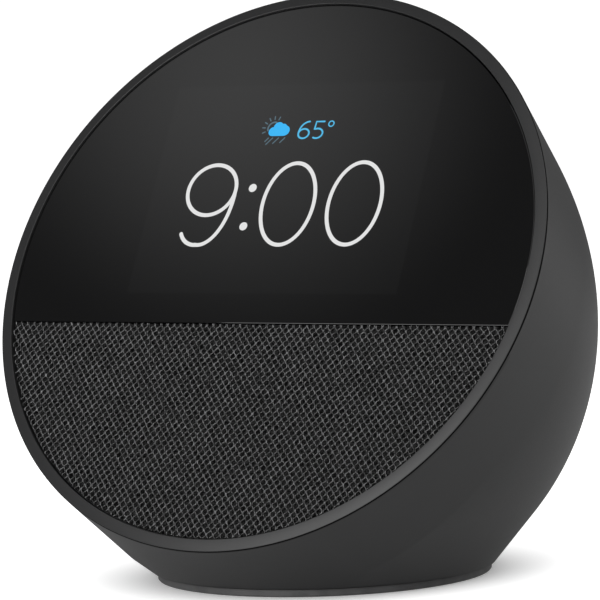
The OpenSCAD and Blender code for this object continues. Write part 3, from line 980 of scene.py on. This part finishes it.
def key_symbol(body):
    """Minus, microphone or plus, in mm with y towards the back."""
    pen = 0.42
    arm = 1.5
    if body == "volume_down_button":
        return bar((-arm, 0), (arm, 0), pen)
    if body == "volume_up_button":
        return bar((-arm, 0), (arm, 0), pen) + bar((0, -arm), (0, arm), pen)
    thin = 0.3
    head_radii = (0.62, 0.62)
    cup_radii = (1.25, 1.25)
    low = (0, -0.1)
    head = arc((0, 1.1), head_radii, 0, 180, 16) + arc(low, head_radii, 180, 360, 16)
    marks = pen_line(head, thin, True)
    marks += pen_line(arc(low, cup_radii, 180, 360, 24), thin)
    marks += bar((0, -1.35), (0, -2.0), thin)
    marks += bar((-1.6, 1.7), (1.6, -1.9), thin)
    return marks


# Foot -------------------------------------------------------------------------------------

def build_foot():
    """Silicone ring that the display stands on."""
    inner = 22 * MM
    edge = 0.3 * MM
    profile = [
        (inner, FOOT_TOP),
        (inner, edge),
        (inner + edge, 0.0),
        (FOOT_RADIUS - 2 * edge, 0.0),
        (FOOT_RADIUS - 0.6 * edge, 0.3 * edge),
        (FOOT_RADIUS, edge),
        (FOOT_RADIUS, FOOT_TOP),
    ]
    foot = lathe("foot", profile, "silicone", Vector((0, FOOT_Y, 0)), U, BACKWARD, UPWARD)
    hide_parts("foot_ring")


# Stage, light and camera ------------------------------------------------------------------

def stage_square(name, half):
    """Flat square round the origin that belongs to the stage, with this half side."""
    mesh = bpy.data.meshes.new(name)
    verts = [(-half, -half, 0), (half, -half, 0), (half, half, 0), (-half, half, 0)]
    mesh.from_pydata(verts, [], [(0, 1, 2, 3)])
    piece = bpy.data.objects.new(name, mesh)
    bpy.context.scene.collection.objects.link(piece)
    return piece


def camera_boost(tree, socket, others, camera):
    """Gives a strength one value for the camera's rays and another for the light's."""
    path = tree.nodes.new("ShaderNodeLightPath")
    choice = tree.nodes.new("ShaderNodeMapRange")
    choice.inputs["To Min"].default_value = others
    choice.inputs["To Max"].default_value = camera
    tree.links.new(path.outputs["Is Camera Ray"], choice.inputs["Value"])
    tree.links.new(choice.outputs["Result"], socket)
    return choice


def build_floor():
    """White paper that the camera sees as fully white, but for a soft shadow at the foot, partly cast by the
    lights and partly painted into its glow.
    """
    bounced = 0.06
    white = 1.0
    # Camera's glow right at the foot: painted shadow
    foot_painted_shadow = 0.25
    painted_shadow_reach = 60 * MM
    half_side = 6.0
    floor = stage_square("floor", half_side)
    material, shader = new_finish("floor_paper", (0.9, 0.9, 0.9), 0.9)
    links = material.node_tree.links
    grain = texture(material, "ShaderNodeTexNoise", Scale=900.0, Detail=3.0)
    relief(material, shader, grain.outputs["Fac"], 0.01 * MM)
    shader.inputs["Specular IOR Level"].default_value = 0.0
    shader.inputs["Emission Color"].default_value = (1, 1, 1, 1)
    # Glow that dims round the foot for the camera: a painted shadow, laid over the shadow that the lights cast
    painted_shadow_mask = texture(material, "ShaderNodeTexGradient", (1 / painted_shadow_reach,) * 3)
    painted_shadow_mask.gradient_type = "QUADRATIC_SPHERE"
    glow = add_node(material, "ShaderNodeMapRange")
    glow.inputs["From Max"].default_value = (1 - FOOT_RADIUS / painted_shadow_reach) ** 2
    glow.inputs["To Min"].default_value = white
    glow.inputs["To Max"].default_value = foot_painted_shadow
    boost = camera_boost(material.node_tree, shader.inputs["Emission Strength"], bounced, white)
    links.new(painted_shadow_mask.outputs["Fac"], glow.inputs["Value"])
    links.new(glow.outputs["Result"], boost.inputs["To Max"])
    floor.data.materials.append(material)
    floor.location = (0, FOOT_Y, -0.02 * MM)


def look_matrix(position, target):
    """Placement with local -Z towards the target."""
    direction = (target - position).normalized()
    turn = direction.to_track_quat("-Z", "Y").to_matrix().to_4x4()
    return Matrix.Translation(position) @ turn


def outward(azimuth, elevation):
    """Direction out from the display; azimuth 0 is its front."""
    return Vector(
        (
            math.sin(azimuth) * math.cos(elevation),
            -math.cos(azimuth) * math.cos(elevation),
            math.sin(elevation),
        )
    )


def studio_light(name, azimuth, elevation, power):
    """Soft square light a metre from the display, at angles in degrees."""
    side = 0.7
    target = Vector((0, 0, 50 * MM))
    lamp = bpy.data.lights.new(name, "AREA")
    lamp.shape = "RECTANGLE"
    lamp.size = side
    lamp.size_y = side
    lamp.energy = power
    light = bpy.data.objects.new(name, lamp)
    bpy.context.scene.collection.objects.link(light)
    place = target + outward(math.radians(azimuth), math.radians(elevation))
    light.matrix_world = look_matrix(place, target)


# Brightness of the surroundings for the light that reaches the display
SURROUND = 0.155


def build_world():
    """Surroundings that the camera sees as white, and that light the display only a little."""
    white = 1.1
    world = bpy.data.worlds.new("studio")
    bpy.context.scene.world = world
    world.use_nodes = True
    sky = world.node_tree.nodes["Background"]
    sky.inputs["Color"].default_value = (1, 1, 1, 1)
    camera_boost(world.node_tree, sky.inputs["Strength"], SURROUND, white)


# Camera: its angles round the display, how far it is from the face, and how far the face's
# centre lies off the middle of the picture
AZIMUTH = math.radians(30.673)
ELEVATION = math.radians(4.054)
ROLL = math.radians(2.09)
DISTANCE = 707.57 * MM
AIM_RIGHT = 6.252 * MM
AIM_UP = -6.418 * MM
LENS = 231.6


def camera_pose():
    """Camera's axes to the right, up and back, and its place."""
    back = outward(AZIMUTH, ELEVATION)
    level = Vector((math.cos(AZIMUTH), math.sin(AZIMUTH), 0))
    upright = back.cross(level)
    right = level * math.cos(ROLL) - upright * math.sin(ROLL)
    up = level * math.sin(ROLL) + upright * math.cos(ROLL)
    place = FACE_CENTRE + right * AIM_RIGHT + up * AIM_UP + back * DISTANCE
    return right, up, back, place


def build_camera():
    right, up, back, place = camera_pose()
    lens = bpy.data.cameras.new("camera")
    lens.lens = LENS
    lens.sensor_width = 36
    lens.clip_start = 0.05
    camera = bpy.data.objects.new("camera", lens)
    bpy.context.scene.collection.objects.link(camera)
    turn = Matrix((right, up, back)).transposed().to_4x4()
    camera.matrix_world = Matrix.Translation(place) @ turn
    bpy.context.scene.camera = camera


def build_reflection_card(u, v, radius, distance, strength):
    """Round soft card whose reflection is centred on this point of the glass."""
    spot = on_face(u, v)
    towards = (camera_pose()[3] - spot).normalized()
    mirror = W * 2 * towards.dot(W) - towards
    card = stage_square("reflection_card", radius)
    card.matrix_world = look_matrix(spot + mirror * distance, spot)
    material = bpy.data.materials.new("reflection_card")
    material.use_nodes = True
    nodes = material.node_tree.nodes
    links = material.node_tree.links
    nodes.clear()
    ball = texture(material, "ShaderNodeTexGradient", (1 / radius,) * 3)
    ball.gradient_type = "SPHERICAL"
    ramp = nodes.new("ShaderNodeValToRGB")
    ramp.color_ramp.interpolation = "EASE"
    ramp.color_ramp.elements[0].color = (*shade((1, 1, 1), SURROUND / strength), 1)
    ramp.color_ramp.elements[1].color = (1, 1, 1, 1)
    glow = nodes.new("ShaderNodeEmission")
    glow.inputs["Strength"].default_value = strength
    output = nodes.new("ShaderNodeOutputMaterial")
    links.new(ball.outputs["Fac"], ramp.inputs["Fac"])
    links.new(ramp.outputs["Color"], glow.inputs["Color"])
    links.new(glow.outputs["Emission"], output.inputs["Surface"])
    card.data.materials.append(material)


dress_cad_nodes()
outer_tree = build_shell()
build_rim()
build_parting_shade()
build_glass()
build_active_area()
build_clock()
build_weather()
build_temperature()
build_cloth()
build_keys(outer_tree)
build_foot()
build_floor()
build_world()
build_camera()
build_reflection_card(u=-16 * MM, v=40 * MM, radius=85 * MM, distance=350 * MM, strength=0.95)
studio_light("low_light", -12, 10, 5.1)
studio_light("front_light", 10, 30, 2.6)
studio_light("top_light", 30, 60, 1.3)
studio_light("side_light", 130, 35, 1.9)
studio_light("back_light", 150, 15, 0.7)
bpy.context.scene.view_settings.view_transform = "Standard"
